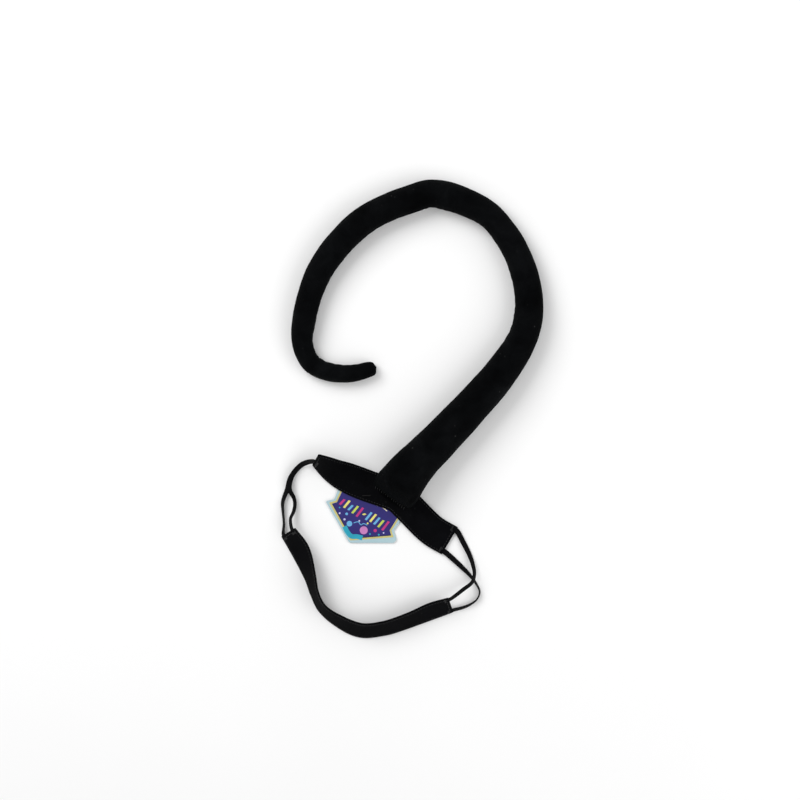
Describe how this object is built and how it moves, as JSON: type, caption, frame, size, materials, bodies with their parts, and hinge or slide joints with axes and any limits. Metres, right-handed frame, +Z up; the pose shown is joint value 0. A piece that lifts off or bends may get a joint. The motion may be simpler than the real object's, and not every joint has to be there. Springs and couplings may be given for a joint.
{
  "type": "costume tail",
  "caption": "Stuffed, bendable costume tail with a wire core, sewn to a flat waist belt with elastic sides and a swinging hang tag.",
  "frame": {"origin": "centre of the bounding box, on the surface that the tail lies on", "axes": "+Y from the belt to the top of the tail's hook, +X to the right seen from above, +Z up off the surface"},
  "size_m": [0.2896, 0.5057, 0.054],
  "materials": {
    "sleeve_fabric": "matte",
    "band_fabric": "matte",
    "elastic_weave": "matte",
    "polyester_fibre": "matte",
    "coated_wire": "satin",
    "printed_card": "satin",
    "black_plastic": "gloss"
  },
  "bodies": {
    "back_belt": {"back_band_face": "band_fabric", "back_band_lining": "band_fabric", "tail_seam_tab": "sleeve_fabric", "tag_fastener": "black_plastic", "elastic_left_outer": "elastic_weave", "elastic_left_inner": "elastic_weave", "elastic_right_outer": "elastic_weave", "elastic_right_inner": "elastic_weave"},
    "front_belt": {"front_band_face": "band_fabric", "front_band_lining": "band_fabric"},
    "hang_tag": {"tag_card": "printed_card"},
    "tail_1": {"tail_sleeve_1": "sleeve_fabric", "tail_fill_1": "polyester_fibre", "tail_wire_1": "coated_wire"},
    "tail_2": {"tail_sleeve_2": "sleeve_fabric", "tail_fill_2": "polyester_fibre", "tail_wire_2": "coated_wire"},
    "tail_3": {"tail_sleeve_3": "sleeve_fabric", "tail_fill_3": "polyester_fibre", "tail_wire_3": "coated_wire"},
    "tail_4": {"tail_sleeve_4": "sleeve_fabric", "tail_fill_4": "polyester_fibre", "tail_wire_4": "coated_wire"},
    "tail_5": {"tail_sleeve_5": "sleeve_fabric", "tail_fill_5": "polyester_fibre", "tail_wire_5": "coated_wire"},
    "tail_6": {"tail_sleeve_6": "sleeve_fabric", "tail_fill_6": "polyester_fibre", "tail_wire_6": "coated_wire"},
    "tail_7": {"tail_sleeve_7": "sleeve_fabric", "tail_fill_7": "polyester_fibre", "tail_wire_7": "coated_wire"},
    "tail_8": {"tail_sleeve_8": "sleeve_fabric", "tail_fill_8": "polyester_fibre", "tail_wire_8": "coated_wire"},
    "tail_9": {"tail_sleeve_9": "sleeve_fabric", "tail_fill_9": "polyester_fibre", "tail_wire_9": "coated_wire"}
  },
  "joints": [
    {"name": "tail_lift", "type": "hinge", "parent": "back_belt", "child": "tail_1", "pos_m": [-0.023, -0.096, 0.0058], "axis": [0.8065, -0.5912, 0], "range_deg": [0, 85]},
    {"name": "tag_swing", "type": "hinge", "parent": "back_belt", "child": "hang_tag", "pos_m": [-0.049, -0.094, 0.0016], "axis": [0, 0, 1], "range_deg": [-25, 25]},
    {"name": "belt_stretch", "type": "slide", "parent": "back_belt", "child": "front_belt", "axis": [0, -1, 0], "range_m": [0, 0.06], "stiffness_N_per_m": 50, "deforming": ["elastic_left_outer", "elastic_left_inner", "elastic_right_outer", "elastic_right_inner"]},
    {"name": "tail_bend_1", "type": "hinge", "parent": "tail_1", "child": "tail_2", "pos_m": [0.0288, -0.03532, 0.0214], "axis": [0, 0, 1], "range_deg": [-20, 8]},
    {"name": "tail_raise_1", "type": "hinge", "parent": "tail_2", "child": "tail_3", "pos_m": [0.08989, 0.03075, 0.01886], "axis": [0.7681, -0.6404, 0], "range_deg": [-15, 15]},
    {"name": "tail_bend_2", "type": "hinge", "parent": "tail_3", "child": "tail_4", "pos_m": [0.12981, 0.10957, 0.0157], "axis": [0, 0, 1], "range_deg": [-20, 5]},
    {"name": "tail_bend_3", "type": "hinge", "parent": "tail_4", "child": "tail_5", "pos_m": [0.1039, 0.19415, 0.0144], "axis": [0, 0, 1], "range_deg": [-20, 5]},
    {"name": "tail_raise_2", "type": "hinge", "parent": "tail_5", "child": "tail_6", "pos_m": [0.02847, 0.23788, 0.01563], "axis": [0.0813, 0.9967, 0], "range_deg": [-15, 15]},
    {"name": "tail_bend_4", "type": "hinge", "parent": "tail_6", "child": "tail_7", "pos_m": [-0.05452, 0.20634, 0.01544], "axis": [0, 0, 1], "range_deg": [-20, 5]},
    {"name": "tail_bend_5", "type": "hinge", "parent": "tail_7", "child": "tail_8", "pos_m": [-0.10628, 0.14004, 0.01407], "axis": [0, 0, 1], "range_deg": [-20, 5]},
    {"name": "tail_bend_6", "type": "hinge", "parent": "tail_8", "child": "tail_9", "pos_m": [-0.11569, 0.06239, 0.01097], "axis": [0, 0, 1], "range_deg": [-20, 10]}
  ]
}
